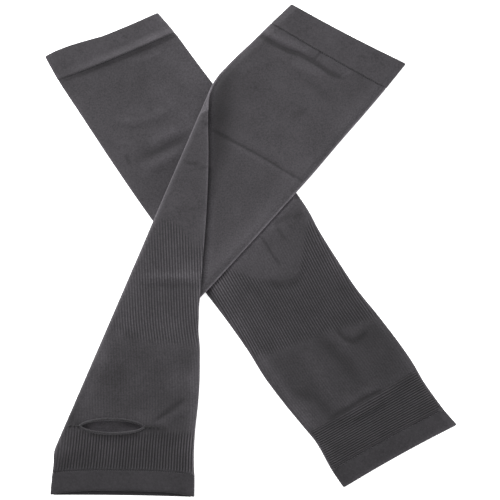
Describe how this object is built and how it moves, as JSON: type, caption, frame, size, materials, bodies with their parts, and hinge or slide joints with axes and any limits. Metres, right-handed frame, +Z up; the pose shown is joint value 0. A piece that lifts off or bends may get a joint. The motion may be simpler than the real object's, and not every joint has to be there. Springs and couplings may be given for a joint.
{
  "type": "pair of arm sleeves",
  "caption": "Pair of knitted arm sleeves with ribbed elbows, turned welts and a thumb slot, lying flat and crossed.",
  "frame": {"origin": "middle of the pair on the surface that it lies on", "axes": "+X to the right of the crossed pair, +Y towards the two upper-arm openings, +Z up from the surface"},
  "size_m": [0.3086, 0.369, 0.0116],
  "materials": {
    "knit": "matt fine jersey and rib knit, dark grey",
    "welt_knit": "matt fine jersey knit, double, dark grey",
    "binding_yarn": "matt overcast yarn, dark grey"
  },
  "bodies": {
    "root": {"under_sleeve_body": "knit", "under_sleeve_top_welt": "welt_knit", "under_sleeve_wrist_welt": "welt_knit", "under_sleeve_thumb_binding": "binding_yarn", "over_sleeve_body": "knit", "over_sleeve_top_welt": "welt_knit", "over_sleeve_wrist_welt": "welt_knit", "over_sleeve_thumb_binding": "binding_yarn"}
  },
  "joints": []
}
